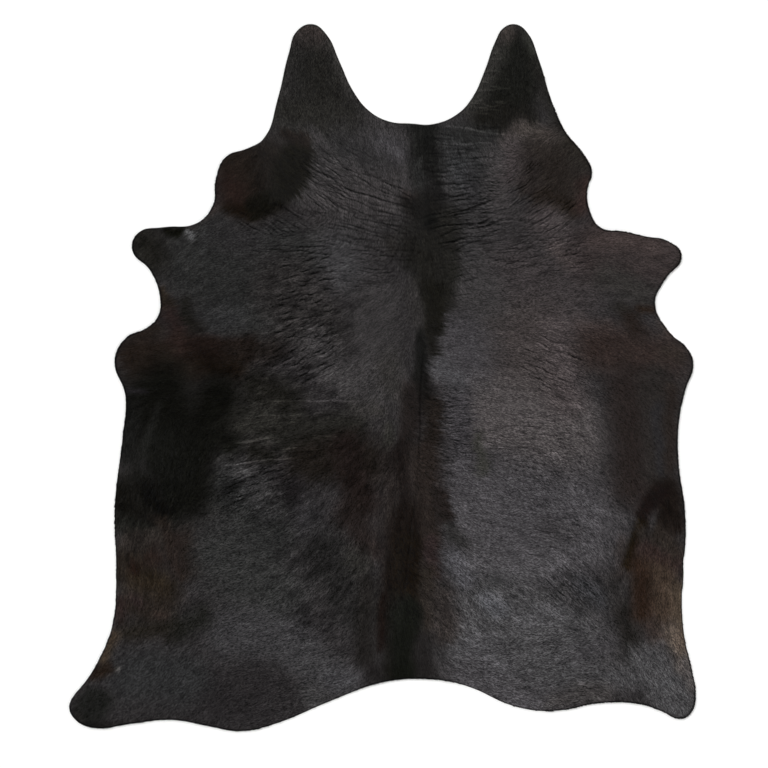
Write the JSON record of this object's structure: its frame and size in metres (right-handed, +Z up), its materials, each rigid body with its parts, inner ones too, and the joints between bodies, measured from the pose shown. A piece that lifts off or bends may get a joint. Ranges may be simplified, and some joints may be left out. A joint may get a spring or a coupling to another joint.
{
  "type": "cowhide rug",
  "caption": "Whole cowhide with its hair on, lying flat: neck flaps, foreleg and hind-leg lobes, and a ridge along the back.",
  "frame": {"origin": "on the floor, under the middle of the hide's bounding box", "axes": "+Z up, the hair side faces +Z; +Y towards the neck flaps; +X to the right of someone who looks down on the hide with its neck away from them"},
  "size_m": [1.878, 2.12, 0.0097],
  "materials": {
    "cowhide": "short glossy black-brown hair lying flat on tanned skin, with a grey sheen, brown at elbows and flanks, suede underneath"
  },
  "bodies": {
    "root": {"hide": "cowhide"}
  },
  "joints": []
}
